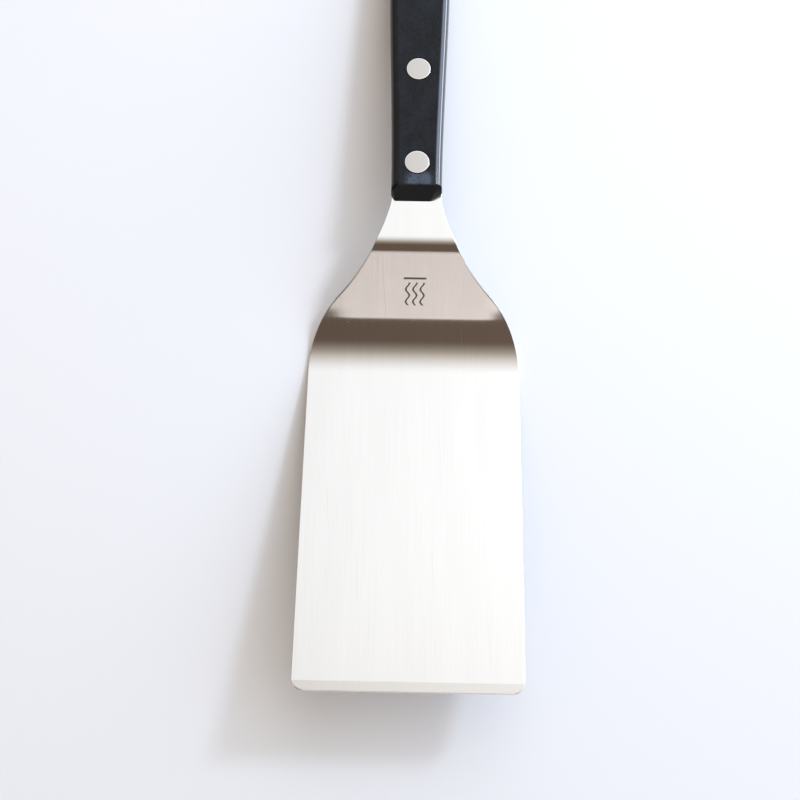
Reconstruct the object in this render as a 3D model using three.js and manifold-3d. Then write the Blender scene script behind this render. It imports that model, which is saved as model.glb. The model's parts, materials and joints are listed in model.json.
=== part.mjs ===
// Offset grill spatula: one bent steel plate that is blade, neck and full tang in one,
// and a black handle of two scales held to the tang by three two-part rivets.
// Millimetres. +X is the width, +Y runs from the tip to the butt, +Z is up.
// The part stands as it rests on a table: on its heel and its butt, with the tip in the air.

import * as THREE from "three";
import { mergeVertices } from "three/addons/utils/BufferGeometryUtils.js";
import Module from "manifold-3d";

const wasm = await Module();
wasm.setup();

// ---- driving dimensions ----

const PLATE = 1.3; // thickness of the sheet steel

const TIP_WIDTH = 76.6; // across the front edge, before its corners are rounded
const HEEL_WIDTH = 75.9; // across the straight sides where the shoulders begin
const TIP_CORNER_RADIUS = 4;
const TIP_BEVEL = 3.2; // length of the ground bevel on the upper side of the front edge
const TIP_EDGE = 0.95; // thickness left at the front edge
const SIDE_LENGTH = 115; // from the front edge to the start of the shoulders, along the plate
const SHOULDER_RADIUS = 45;
const SHOULDER_TURN = rad(41.5);
const NECK_RADIUS = 78; // hollow curve from the shoulder into the handle

const BLADE_LENGTH = 113.8; // flat length from the front edge to the heel bend
const HEEL_RADIUS = 27.45; // bend radii at mid thickness
const HEEL_TURN = rad(47);
const NECK_LENGTH = 24.47; // flat length between the two bends
const UPPER_RADIUS = 7.3;
const UPPER_TURN = rad(40.55);
const COLLAR_LENGTH = 13.47; // flat length from the upper bend to the handle

const HANDLE_LENGTH = 111.3;
const HANDLE_FRONT_WIDTH = 18;
const HANDLE_SWELL = 2.4; // how much each side stands further out near the butt
const HANDLE_SWELL_LENGTH = 105;
const HANDLE_THICKNESS = 12.5;
const HANDLE_ROUNDING = 3; // along the sides and round the butt
const BUTT_RADIUS = 8;
const FRONT_BEVEL_RUN = 3.5; // how far the front face leans back over the height of a scale
const FRONT_BOW = 0.6; // how much further back the middle of that face's upper edge lies
const LEFT_CORNER = { along: 2, across: 1.3 }; // ground-off front corners
const RIGHT_CORNER = { along: 2.9, across: 4.2 };

const RIVET_FIRST = 12.7; // from the front of the handle
const RIVET_PITCH = 37.8;
const RIVET_NAMES = ["front", "middle", "rear"];
const RIVET_HEAD_RADIUS = 4.37;
const RIVET_HEAD = 2;
const RIVET_TUBE_RADIUS = 2.8;
const RIVET_TUBE_BORE = 2.1;
const RIVET_PIN_RADIUS = 1.8;
const RIVET_TUBE_END = 3.6; // how far past the mid plane the tube reaches
const RIVET_PIN_END = 3.4; // how far past the mid plane the pin reaches
const RIVET_BORE_END = 3.9; // closed end of the tube's bore

const GAP = 0.3; // clearance between neighbouring pieces

const BEND_STEP = rad(4);
const CURVE_STEP = 3; // longest step along the plate where its outline curves
const ROUND_SEGMENTS = 40;

// ---- small helpers ----

function rad(degrees) {
  return (degrees * Math.PI) / 180;
}

function smoothstep(t) {
  const u = Math.min(1, Math.max(0, t));
  return u * u * (3 - 2 * u);
}

// Values from a to b in equal steps no longer than step, with both ends.
function steps(a, b, step) {
  const count = Math.max(1, Math.ceil(Math.abs(b - a) / step - 1e-6));
  return Array.from({ length: count + 1 }, (_, i) => a + ((b - a) * i) / count);
}

// A closed body through a stack of rings with equal numbers of points, the two end rings
// capped. A ring and capOutline, its flat picture, turn anticlockwise when they are looked at
// from the last ring's side.
function loft(rings, capOutline) {
  const count = rings[0].length;
  const positions = rings.flat().flatMap((p) => [p.x, p.y, p.z]);
  const index = [];
  for (let r = 0; r + 1 < rings.length; r++) {
    for (let i = 0; i < count; i++) {
      const a = r * count + i;
      const b = r * count + ((i + 1) % count);
      index.push(a, b, b + count, a, b + count, a + count);
    }
  }
  const last = (rings.length - 1) * count;
  for (const [a, b, c] of THREE.ShapeUtils.triangulateShape(capOutline, [])) {
    index.push(c, b, a, last + a, last + b, last + c);
  }
  const geometry = new THREE.BufferGeometry();
  geometry.setAttribute("position", new THREE.Float32BufferAttribute(positions, 3));
  geometry.setIndex(index);
  return geometry;
}

function toSolid(geometry) {
  const bare = geometry.clone();
  bare.deleteAttribute("normal");
  bare.deleteAttribute("uv");
  const merged = mergeVertices(bare, 1e-4);
  const vertProperties = merged.getAttribute("position").array;
  const triVerts = new Uint32Array(merged.index.array);
  return new wasm.Manifold(new wasm.Mesh({ numProp: 3, vertProperties, triVerts }));
}

function toGeometry(solid) {
  const mesh = solid.getMesh();
  const geometry = new THREE.BufferGeometry();
  geometry.setAttribute("position", new THREE.BufferAttribute(mesh.vertProperties, 3));
  geometry.setIndex(new THREE.BufferAttribute(mesh.triVerts, 1));
  geometry.computeVertexNormals();
  return geometry;
}

function cut(geometry, cutters) {
  return toGeometry(cutters.reduce((solid, c) => solid.subtract(toSolid(c)), toSolid(geometry)));
}

// A turned piece whose axis is +Z: points are [radius, height], from the axis to the axis,
// from the lowest to the highest round the outside.
function turned(points) {
  return new THREE.LatheGeometry(
    points.map(([r, h]) => new THREE.Vector2(r, h)),
    ROUND_SEGMENTS,
  ).rotateX(Math.PI / 2);
}

// ---- the plate's side profile, blade level, front edge at the origin ----

const HEEL_END = BLADE_LENGTH + HEEL_RADIUS * HEEL_TURN;
const NECK_END = HEEL_END + NECK_LENGTH;
const UPPER_END = NECK_END + UPPER_RADIUS * UPPER_TURN;
const HANDLE_START = UPPER_END + COLLAR_LENGTH;
const PLATE_END = HANDLE_START + HANDLE_LENGTH;
const TANG_HEADING = HEEL_TURN - UPPER_TURN;

// Mid-plane place and heading at a distance along the plate.
function profileAt(distance) {
  const runs = [
    { to: BLADE_LENGTH, bend: 0 },
    { to: HEEL_END, bend: 1 / HEEL_RADIUS },
    { to: NECK_END, bend: 0 },
    { to: UPPER_END, bend: -1 / UPPER_RADIUS },
    { to: PLATE_END, bend: 0 },
  ];
  let at = { y: 0, z: 0, heading: 0 };
  let from = 0;
  for (const { to, bend } of runs) {
    const length = Math.min(distance, to) - from;
    if (length <= 0) break;
    const turn = length * bend;
    const chord = turn ? (2 * Math.sin(turn / 2)) / bend : length;
    const way = at.heading + turn / 2;
    at = {
      y: at.y + chord * Math.cos(way),
      z: at.z + chord * Math.sin(way),
      heading: at.heading + turn,
    };
    from = to;
  }
  return at;
}

// ---- outlines ----

const SHOULDER_END = SIDE_LENGTH + SHOULDER_RADIUS * Math.sin(SHOULDER_TURN);

// Half the handle's width at a distance behind its front.
function handleHalfWidth(along) {
  return HANDLE_FRONT_WIDTH / 2 + HANDLE_SWELL * smoothstep(along / HANDLE_SWELL_LENGTH);
}

// Half the handle's width with the butt's rounded corners.
function roundedHalfWidth(along) {
  const into = Math.max(0, along - (HANDLE_LENGTH - BUTT_RADIUS));
  const lost = BUTT_RADIUS - Math.sqrt(Math.max(0, BUTT_RADIUS ** 2 - into ** 2));
  return handleHalfWidth(along) - lost;
}

function sideHalfWidth(distance) {
  const share = distance / SIDE_LENGTH;
  return (TIP_WIDTH + (HEEL_WIDTH - TIP_WIDTH) * share) / 2;
}

// Half the plate's width at a distance along it.
function plateHalfWidth(distance) {
  if (distance < SIDE_LENGTH) {
    const into = Math.max(0, TIP_CORNER_RADIUS - distance);
    const lost = TIP_CORNER_RADIUS - Math.sqrt(TIP_CORNER_RADIUS ** 2 - into ** 2);
    return sideHalfWidth(distance) - lost;
  }
  const heel = HEEL_WIDTH / 2;
  if (distance < SHOULDER_END) {
    const turn = Math.asin((distance - SIDE_LENGTH) / SHOULDER_RADIUS);
    return heel - SHOULDER_RADIUS * (1 - Math.cos(turn));
  }
  if (distance < HANDLE_START) {
    const shoulder = heel - SHOULDER_RADIUS * (1 - Math.cos(SHOULDER_TURN));
    const turn = Math.asin(Math.sin(SHOULDER_TURN) - (distance - SHOULDER_END) / NECK_RADIUS);
    return shoulder - NECK_RADIUS * (Math.cos(turn) - Math.cos(SHOULDER_TURN));
  }
  return roundedHalfWidth(distance - HANDLE_START);
}

// Distances at which the plate's outline or profile needs a section, in order.
function plateStations() {
  const corner = steps(0, Math.PI / 2, rad(15)).map((a) => TIP_CORNER_RADIUS * (1 - Math.cos(a)));
  const butt = steps(0, Math.PI / 2, rad(10)).map((a) => PLATE_END - BUTT_RADIUS * (1 - Math.sin(a)));
  const all = [
    ...corner,
    TIP_BEVEL,
    BLADE_LENGTH,
    ...steps(BLADE_LENGTH, HEEL_END, HEEL_RADIUS * BEND_STEP),
    ...steps(SIDE_LENGTH, NECK_END, CURVE_STEP),
    ...steps(NECK_END, UPPER_END, UPPER_RADIUS * BEND_STEP),
    ...steps(UPPER_END, HANDLE_START, CURVE_STEP),
    ...steps(HANDLE_START, PLATE_END - BUTT_RADIUS, 2 * CURVE_STEP),
    ...butt,
  ];
  const sorted = all.sort((a, b) => a - b);
  return sorted.filter((s, i) => i === 0 || s - sorted[i - 1] > 0.05);
}

// ---- the pieces ----

// A place beside the plate's mid plane: across, and above along the plate's normal.
function offPlate({ y, z, heading }, across, above) {
  return new THREE.Vector3(across, y - above * Math.sin(heading), z + above * Math.cos(heading));
}

function plateGeometry() {
  const rings = plateStations().map((distance) => {
    const at = profileAt(distance);
    const half = plateHalfWidth(distance);
    const ground = (PLATE - TIP_EDGE) * Math.max(0, 1 - distance / TIP_BEVEL);
    const top = PLATE / 2 - ground;
    return [
      offPlate(at, -half, -PLATE / 2),
      offPlate(at, -half, top),
      offPlate(at, half, top),
      offPlate(at, half, -PLATE / 2),
    ];
  });
  const seenFromButt = [
    [1, -1],
    [1, 1],
    [-1, 1],
    [-1, -1],
  ].map(([x, y]) => new THREE.Vector2(x, y));
  return loft(rings, seenFromButt);
}

// The upper scale's outline at its foot, anticlockwise from above: x across, y behind the front.
// reach says how fully a point follows the leaning front (1) or the rounded sides (0).
function scaleOutline() {
  const front = HANDLE_FRONT_WIDTH / 2;
  const left = -front + LEFT_CORNER.across;
  const right = front - RIGHT_CORNER.across;
  const sideFrom = Math.max(LEFT_CORNER.along, RIGHT_CORNER.along);
  const side = steps(sideFrom + CURVE_STEP, HANDLE_LENGTH - BUTT_RADIUS, 2 * CURVE_STEP);
  const butt = steps(0, Math.PI / 2, rad(10)).map(
    (a) => HANDLE_LENGTH - BUTT_RADIUS * (1 - Math.sin(a)),
  );
  const backwards = [...side, ...butt.slice(1)];
  const edge = steps(left, right, CURVE_STEP / 2).map((x) => ({ x, y: 0, reach: 1 }));
  return [
    ...edge,
    { x: front, y: RIGHT_CORNER.along, reach: 0 },
    ...backwards.map((y) => ({ x: roundedHalfWidth(y), y, reach: 0 })),
    ...backwards.toReversed().map((y) => ({ x: -roundedHalfWidth(y), y, reach: 0 })),
    { x: -front, y: LEFT_CORNER.along, reach: 0 },
  ];
}

// Moves a point of the outline in for a height above the tang's mid plane.
function scalePoint({ x, y, reach }, height) {
  const share = (height - PLATE / 2) / (HANDLE_THICKNESS / 2 - PLATE / 2);
  const above = Math.max(0, height - (HANDLE_THICKNESS / 2 - HANDLE_ROUNDING));
  const inset = HANDLE_ROUNDING - Math.sqrt(Math.max(0, HANDLE_ROUNDING ** 2 - above ** 2));
  const half = roundedHalfWidth(y);
  const bow = FRONT_BOW * (1 - Math.min(1, (x / half) ** 2)) * share ** 2;
  const lean = share * FRONT_BEVEL_RUN + bow;
  const buttCentre = HANDLE_LENGTH - BUTT_RADIUS;
  const intoButt = Math.max(0, y - buttCentre) / BUTT_RADIUS;
  const along = reach ? y + lean : Math.max(y, lean) - inset * intoButt;
  const across = Math.min(Math.abs(x), half - inset * Math.sqrt(1 - intoButt ** 2));
  return new THREE.Vector3(Math.sign(x) * across, along, height);
}

// The upper scale lying level: x across, y behind the front, z above the tang's mid plane.
function scaleGeometry() {
  const outline = scaleOutline();
  const straight = HANDLE_THICKNESS / 2 - HANDLE_ROUNDING;
  const rounded = steps(0, Math.PI / 2, rad(15)).map((a) => straight + HANDLE_ROUNDING * Math.sin(a));
  const heights = [PLATE / 2 + GAP, ...rounded];
  const rings = heights.map((h) => outline.map((p) => scalePoint(p, h)));
  const cap = rings[0].map((p) => new THREE.Vector2(p.x, p.y));
  const shank = RIVET_TUBE_RADIUS + GAP;
  const head = RIVET_HEAD_RADIUS + GAP;
  const seat = HANDLE_THICKNESS / 2 - RIVET_HEAD - GAP;
  const over = HANDLE_THICKNESS;
  const cutters = RIVET_NAMES.map((_, i) =>
    turned([
      [0, -over],
      [shank, -over],
      [shank, seat],
      [head, seat],
      [head, over],
      [0, over],
    ]).translate(0, RIVET_FIRST + i * RIVET_PITCH, 0),
  );
  return cut(loft(rings, cap), cutters);
}

function tubeHalfGeometry() {
  const face = HANDLE_THICKNESS / 2;
  return turned([
    [0, RIVET_BORE_END],
    [RIVET_TUBE_BORE, RIVET_BORE_END],
    [RIVET_TUBE_BORE, -RIVET_TUBE_END],
    [RIVET_TUBE_RADIUS, -RIVET_TUBE_END],
    [RIVET_TUBE_RADIUS, face - RIVET_HEAD],
    [RIVET_HEAD_RADIUS, face - RIVET_HEAD],
    [RIVET_HEAD_RADIUS, face],
    [0, face],
  ]);
}

function pinHalfGeometry() {
  const face = HANDLE_THICKNESS / 2;
  return turned([
    [0, -face],
    [RIVET_HEAD_RADIUS, -face],
    [RIVET_HEAD_RADIUS, RIVET_HEAD - face],
    [RIVET_PIN_RADIUS, RIVET_HEAD - face],
    [RIVET_PIN_RADIUS, RIVET_PIN_END],
    [0, RIVET_PIN_END],
  ]);
}

// ---- assembly ----

const steel = new THREE.MeshStandardMaterial({ color: 0xcfccc8, roughness: 0.3, metalness: 1 });
const polymer = new THREE.MeshStandardMaterial({ color: 0x1b1b1e, roughness: 0.35, metalness: 0 });
const rivetSteel = new THREE.MeshStandardMaterial({ color: 0xdedad5, roughness: 0.35, metalness: 1 });

function named(name, geometry, material) {
  const mesh = new THREE.Mesh(geometry, material);
  mesh.name = name;
  return mesh;
}

// Pieces of the handle, in a frame at its front on the tang's mid plane.
function handleGroup() {
  const front = profileAt(HANDLE_START);
  const group = new THREE.Group();
  group.position.set(0, front.y, front.z);
  group.rotation.x = TANG_HEADING;
  const upper = scaleGeometry();
  const lower = toGeometry(toSolid(upper).mirror([0, 0, 1]));
  group.add(named("top_handle_scale", upper, polymer));
  group.add(named("bottom_handle_scale", lower, polymer));
  RIVET_NAMES.forEach((name, i) => {
    const tube = named(name + "_rivet_tube_half", tubeHalfGeometry(), rivetSteel);
    const pin = named(name + "_rivet_pin_half", pinHalfGeometry(), rivetSteel);
    for (const half of [tube, pin]) {
      half.position.y = RIVET_FIRST + i * RIVET_PITCH;
      group.add(half);
    }
  });
  return group;
}

// The plate with its three rivet holes.
function bladeMesh() {
  const { y, z } = profileAt(HANDLE_START);
  const radius = RIVET_TUBE_RADIUS + GAP;
  const holes = RIVET_NAMES.map((_, i) =>
    new THREE.CylinderGeometry(radius, radius, 4 * PLATE, ROUND_SEGMENTS)
      .rotateX(Math.PI / 2)
      .translate(0, RIVET_FIRST + i * RIVET_PITCH, 0)
      .rotateX(TANG_HEADING)
      .translate(0, y, z),
  );
  return named("blade_with_tang", cut(plateGeometry(), holes), steel);
}

// The pitch of the table's top under the part: it touches the heel's rounded underside and
// the lower rounded edge of the butt.
function tablePitch() {
  const heelOut = HEEL_RADIUS + PLATE / 2;
  const heel = new THREE.Vector2(BLADE_LENGTH, HEEL_RADIUS);
  const front = profileAt(HANDLE_START);
  const along = HANDLE_LENGTH - HANDLE_ROUNDING;
  const below = HANDLE_THICKNESS / 2 - HANDLE_ROUNDING;
  const butt = new THREE.Vector2(
    front.y + along * Math.cos(front.heading) + below * Math.sin(front.heading),
    front.z + along * Math.sin(front.heading) - below * Math.cos(front.heading),
  );
  const between = butt.clone().sub(heel);
  return between.angle() - Math.asin((HANDLE_ROUNDING - heelOut) / between.length());
}

const spatula = new THREE.Group();
spatula.name = "grill_spatula";
spatula.add(bladeMesh(), handleGroup());
spatula.rotation.x = -tablePitch();

// The origin is on the table, under the middle of the part.
const bounds = new THREE.Box3().setFromObject(spatula, true);
spatula.position.set(0, -(bounds.min.y + bounds.max.y) / 2, -bounds.min.z);

export default spatula;
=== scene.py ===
"""Offset grill spatula, laid out as an add-on and run as a script.

The blade, neck and tang are one flat blank that a node tree bends. The handle's two scales and
its rivets are made flat on that blank, and the same tree carries them to their places.
Metres. X is across the blade, Y runs from the tip to the butt, Z is up from the table.
"""

import json
import math

import bmesh
import bpy
from mathutils import Matrix, Vector


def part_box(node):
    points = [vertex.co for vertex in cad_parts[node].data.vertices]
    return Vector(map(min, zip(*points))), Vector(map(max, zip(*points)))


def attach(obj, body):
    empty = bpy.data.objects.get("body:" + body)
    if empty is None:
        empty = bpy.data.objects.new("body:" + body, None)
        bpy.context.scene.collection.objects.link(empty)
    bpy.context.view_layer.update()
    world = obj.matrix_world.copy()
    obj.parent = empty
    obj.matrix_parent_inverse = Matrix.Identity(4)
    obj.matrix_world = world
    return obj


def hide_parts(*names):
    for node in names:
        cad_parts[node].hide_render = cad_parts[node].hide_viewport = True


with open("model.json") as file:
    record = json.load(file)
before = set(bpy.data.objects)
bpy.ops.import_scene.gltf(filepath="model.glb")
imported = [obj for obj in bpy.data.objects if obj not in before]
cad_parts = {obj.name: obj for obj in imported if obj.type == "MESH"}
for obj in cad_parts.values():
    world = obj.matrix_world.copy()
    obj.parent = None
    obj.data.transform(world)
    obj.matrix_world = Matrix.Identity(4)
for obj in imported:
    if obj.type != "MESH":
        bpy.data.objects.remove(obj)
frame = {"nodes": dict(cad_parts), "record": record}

bl_info = {
    "name": "Grill spatula",
    "version": (1, 0, 0),
    "blender": (4, 5, 0),
    "location": "View3D > Sidebar > Spatula",
    "description": "Makes an offset grill spatula: bent blade with tang, riveted handle, table and light",
    "category": "Add Mesh",
}

MM = 0.001
SEAT_GAP = 0.5 * MM  # how far a piece may stray from its nodes
SMOOTH_BELOW = math.radians(33)  # edges flatter than this are shaded smooth
WORN_SUPPORT = 0.06 * MM  # from a worn edge to the row of points that holds its shading
SLOPE_REACH = 0.1 * MM  # over which an outline's slope is taken

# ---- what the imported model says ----

BLADE_NODE = "blade_with_tang"
TOP_SCALE_NODE = "top_handle_scale"
BOTTOM_SCALE_NODE = "bottom_handle_scale"
TUBE_NODES = sorted(name for name in frame["nodes"] if name.endswith("_rivet_tube_half"))
PIN_NODES = sorted(name for name in frame["nodes"] if name.endswith("_rivet_pin_half"))
BLADE_LOW, BLADE_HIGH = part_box(BLADE_NODE)
MOUNTS = {mount["name"]: mount for mount in frame["record"]["mounts"]}


def tilt_of(mount):
    """How far a mount's face leans towards the butt."""
    axis = MOUNTS[mount]["axis"]
    return math.atan2(axis[1], axis[2])


REST_PITCH = tilt_of("blade_top")
TANG_PITCH = tilt_of("handle_top")


def rivet_pitch():
    """Distance along the tang between neighbouring rivets."""
    middles = sorted((sum(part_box(name), Vector()) / 2 for name in TUBE_NODES), key=lambda p: p.y)
    return (middles[-1] - middles[0]).length / (len(middles) - 1)


def node_half_width(name):
    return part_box(name)[1].x


# ---- settings ----


def length(name, description, millimetres):
    return bpy.props.FloatProperty(
        name=name,
        description=description,
        default=millimetres * MM,
        min=0,
        precision=5,
        subtype="DISTANCE",
        unit="LENGTH",
    )


def angle(name, description, degrees):
    return bpy.props.FloatProperty(
        name=name,
        description=description,
        default=math.radians(degrees),
        subtype="ANGLE",
        unit="ROTATION",
    )


def colour(name, description, value):
    return bpy.props.FloatVectorProperty(
        name=name, description=description, default=value, size=3, min=0, max=1, subtype="COLOR"
    )


def amount(name, description, value, most=1.0):
    return bpy.props.FloatProperty(
        name=name, description=description, default=value, min=0, max=most, subtype="FACTOR"
    )


class BladeSettings(bpy.types.PropertyGroup):
    thickness: length("Thickness", "Thickness of the sheet steel", 1.3)
    tip_width: length("Tip Width", "Width across the front edge before its corners are rounded", 76.6)
    heel_width: length("Heel Width", "Width where the shoulders begin", 75.9)
    tip_corner: length("Tip Corner", "Radius of the two front corners", 4)
    bevel_run: length("Bevel Run", "Length of the ground bevel on the front edge", 3.2)
    tip_edge: length("Tip Edge", "Thickness left at the front edge", 0.95)
    side: length("Side", "From the front edge to the shoulders, along the plate", 115)
    shoulder_radius: length("Shoulder Radius", "Radius of the rounded shoulders", 45)
    shoulder_turn: angle("Shoulder Turn", "How far the shoulders turn inwards", 41.5)
    neck_radius: length("Neck Radius", "Radius of the hollow curve into the handle", 78)
    blade: length("Blade", "Flat length from the front edge to the heel bend", 113.8)
    heel_radius: length("Heel Radius", "Radius of the heel bend at mid thickness", 27.45)
    heel_turn: angle("Heel Turn", "Angle of the heel bend", 47)
    neck: length("Neck", "Flat length between the two bends", 24.47)
    upper_radius: length("Upper Radius", "Radius of the upper bend at mid thickness", 7.3)
    collar: length("Collar", "Flat length from the upper bend to the handle", 13.47)
    softness: length("Edge Softness", "Radius worn onto the plate's edges", 0.2)
    neck_hollow: angle("Neck Hollow", "Slope of the neck's slight hollow at its two ends", 0.6)
    corner_drop: length("Corner Drop", "How far the sides sag at the end of the heel bend", 0.2)
    steel: colour("Steel", "Colour of the brushed steel", (0.63, 0.622, 0.614))
    etch: colour("Etched Mark", "Colour of the etched mark", (0.085, 0.078, 0.075))
    grain: amount("Grain", "Depth of the brushing", 0.5)


class HandleSettings(bpy.types.PropertyGroup):
    length: length("Length", "Length of the handle", 111.3)
    front_width: length("Front Width", "Width at the front of the handle", 18)
    swell: length("Swell", "How much further out each side stands near the butt", 2.4)
    swell_run: length("Swell Run", "Length over which the sides swell", 105)
    thickness: length("Thickness", "Thickness over both scales", 12.5)
    rounding: length("Rounding", "Radius along the sides and round the butt", 3)
    butt_radius: length("Butt Radius", "Radius of the butt's corners", 8)
    front_run: length("Front Run", "How far the front face leans back", 3.5)
    front_bow: length("Front Bow", "How much further back the middle of its upper edge lies", 0.6)
    seam: length("Seam", "Gap between each scale and the tang", 0.06)
    softness: length("Edge Softness", "Radius on the front face's edges", 0.28)
    polymer: colour("Polymer", "Colour of the black polymer", (0.003, 0.003, 0.0036))
    # The buffed patch's bluish colour is a painted sheen: it stands in for light caught on the top near
    # the front.
    haze_and_painted_sheen: colour("Buffing Haze", "Colour of the buffed haze at the front", (0.07, 0.086, 0.112))


class RivetSettings(bpy.types.PropertyGroup):
    first: length("First", "From the front of the handle to the first rivet", 12.7)
    pitch: length("Pitch", "Distance between rivets", rivet_pitch() / MM)
    count: bpy.props.IntProperty(
        name="Count", description="Number of rivets", default=len(TUBE_NODES), min=1
    )
    head_radius: length("Head Radius", "Radius of the heads", node_half_width(TUBE_NODES[0]) / MM)
    head: length("Head", "Thickness of the heads", 2)
    tube_radius: length("Tube Radius", "Outer radius of the tube half's shank", 2.8)
    tube_bore: length("Tube Bore", "Radius of the bore in the tube half", 2.1)
    pin_radius: length("Pin Radius", "Radius of the pin half's shank", 2.02)
    tube_end: length("Tube End", "How far past mid thickness the tube reaches", 3.6)
    pin_end: length("Pin End", "How far past mid thickness the pin reaches", 3.4)
    bore_end: length("Bore End", "Where the tube's bore ends", 3.9)
    softness: length("Edge Softness", "Radius on the rim of the heads", 0.13)
    clearance: length("Clearance", "Gap round the heads and shanks", 0.18)
    seed: bpy.props.IntProperty(name="Seed", description="Turns of the rivets' grain", default=7)
    steel: colour("Steel", "Colour of the rivets", (0.475, 0.457, 0.437))


class StageSettings(bpy.types.PropertyGroup):
    table: colour("Table", "Colour of the table", (0.86, 0.862, 0.87))
    light_distance: length("Light Distance", "From the table to each light", 1600)
    room: amount("Room", "Brightness of the room", 1.65, 4.0)


# ---- node trees written as formulas ----


class Wire:
    """One output of a node. Arithmetic on wires adds Math nodes to their tree."""

    def __init__(self, tree, socket):
        self.tree = tree
        self.socket = socket

    def math(self, operation, *others):
        return self.tree.add("ShaderNodeMath", {"operation": operation}, [self, *others]).out()

    def turned_math(self, operation, other):
        return self.tree.add("ShaderNodeMath", {"operation": operation}, [other, self]).out()

    def __add__(self, other):
        return self.math("ADD", other)

    def __sub__(self, other):
        return self.math("SUBTRACT", other)

    def __mul__(self, other):
        return self.math("MULTIPLY", other)

    def __truediv__(self, other):
        return self.math("DIVIDE", other)

    def __rsub__(self, other):
        return self.turned_math("SUBTRACT", other)

    def __rtruediv__(self, other):
        return self.turned_math("DIVIDE", other)

    def __neg__(self):
        return self.turned_math("SUBTRACT", 0.0)

    __radd__ = __add__
    __rmul__ = __mul__

    def clamp(self, low, high):
        return self.math("MAXIMUM", low).math("MINIMUM", high)

    def step(self, low, high):
        """0 below low, 1 above high, and a smooth rise between them. It falls where high < low."""
        settings = {"interpolation_type": "SMOOTHSTEP"}
        values = {"Value": self, "From Min": low, "From Max": high}
        return self.tree.add("ShaderNodeMapRange", settings, values).out()


class Added:
    """A node that was added, with its outputs by name."""

    def __init__(self, tree, node):
        self.tree = tree
        self.node = node

    def out(self, name=None):
        found = [s for s in self.node.outputs if s.enabled and name in (None, s.name)]
        return Wire(self.tree, found[0])


class Tree:
    """A shader, world or geometry tree."""

    def __init__(self, tree):
        self.tree = tree
        self.tree.nodes.clear()

    def add(self, kind, settings=None, values=None):
        """Adds a node. Settings come first, as they decide which sockets it has."""
        node = self.tree.nodes.new(kind)
        for name, value in (settings or {}).items():
            setattr(node, name, value)
        pairs = values.items() if isinstance(values, dict) else enumerate(values or [])
        for key, value in pairs:
            self.feed(self.input(node, key), value)
        return Added(self, node)

    def input(self, node, key):
        shown = [s for s in node.inputs if s.enabled]
        return shown[key] if isinstance(key, int) else next(s for s in shown if s.name == key)

    def feed(self, socket, value):
        if isinstance(value, Wire):
            self.tree.links.new(value.socket, socket)
        elif socket.type == "RGBA" and len(value) == 3:
            socket.default_value = (*value, 1)
        else:
            socket.default_value = value

    def vector(self, x, y, z):
        return self.add("ShaderNodeCombineXYZ", None, [x, y, z]).out()

    def parts(self, vector):
        node = self.add("ShaderNodeSeparateXYZ", None, [vector])
        return node.out("X"), node.out("Y"), node.out("Z")

    def mix(self, share, first, second):
        settings = {"data_type": "RGBA", "clamp_factor": True}
        return self.add("ShaderNodeMix", settings, {"Factor": share, "A": first, "B": second}).out()

    def noise(self, vector, detail=2.0, roughness=0.5):
        values = {"Vector": vector, "Scale": 1.0, "Detail": detail, "Roughness": roughness}
        return self.add("ShaderNodeTexNoise", None, values).out()


# ---- the tree that bends the blank ----

SOCKETS = {
    "Geometry": "NodeSocketGeometry",
    "Material": "NodeSocketMaterial",
    "Object": "NodeSocketObject",
    "Integer": "NodeSocketInt",
    "Float": "NodeSocketFloat",
}
BEND_INPUTS = (
    "Blade",
    "Heel Radius",
    "Heel Turn",
    "Neck",
    "Upper Radius",
    "Upper Turn",
    "Rest Pitch",
    "Tip Place",
    "Tip Height",
)
ROW_INPUTS = ("First Rivet", "Rivet Pitch")


class Group:
    """A geometry node group with named inputs and one geometry output."""

    def __init__(self, name, inputs):
        self.group = bpy.data.node_groups.new(name, "GeometryNodeTree")
        self.group.is_modifier = True
        self.tree = Tree(self.group)
        face = self.group.interface
        for label, kind in [("Geometry", "Geometry"), *inputs]:
            face.new_socket(label, in_out="INPUT", socket_type=SOCKETS[kind])
        face.new_socket("Geometry", in_out="OUTPUT", socket_type=SOCKETS["Geometry"])
        self.start = self.tree.add("NodeGroupInput")

    def wire(self, name):
        return self.start.out(name)

    def finish(self, geometry):
        self.tree.add("NodeGroupOutput", None, [geometry])
        return self.group


def place_on_plate(tree, wire, along):
    """Place (y, z) and heading of the plate's middle at a distance along it, blade level."""
    blade, neck = wire("Blade"), wire("Neck")
    heel_radius, heel_turn = wire("Heel Radius"), wire("Heel Turn")
    upper_radius, upper_turn = wire("Upper Radius"), wire("Upper Turn")
    heel_end = blade + heel_radius * heel_turn
    upper_start = heel_end + neck
    upper_end = upper_start + upper_radius * upper_turn
    level = along.math("MINIMUM", blade)
    first = (along - blade).clamp(0.0, heel_radius * heel_turn) / heel_radius
    straight = (along - heel_end).clamp(0.0, neck)
    second = (along - upper_start).clamp(0.0, upper_radius * upper_turn) / upper_radius
    beyond = (along - upper_end).math("MAXIMUM", 0.0)
    heading = first - second
    last = heel_turn - upper_turn
    over = heel_turn - second
    y = level + heel_radius * first.math("SINE") + straight * heel_turn.math("COSINE")
    y = y + upper_radius * (heel_turn.math("SINE") - over.math("SINE")) + beyond * last.math("COSINE")
    z = heel_radius * (1.0 - first.math("COSINE")) + straight * heel_turn.math("SINE")
    z = z + upper_radius * (over.math("COSINE") - heel_turn.math("COSINE")) + beyond * last.math("SINE")
    return y, z, heading


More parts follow.
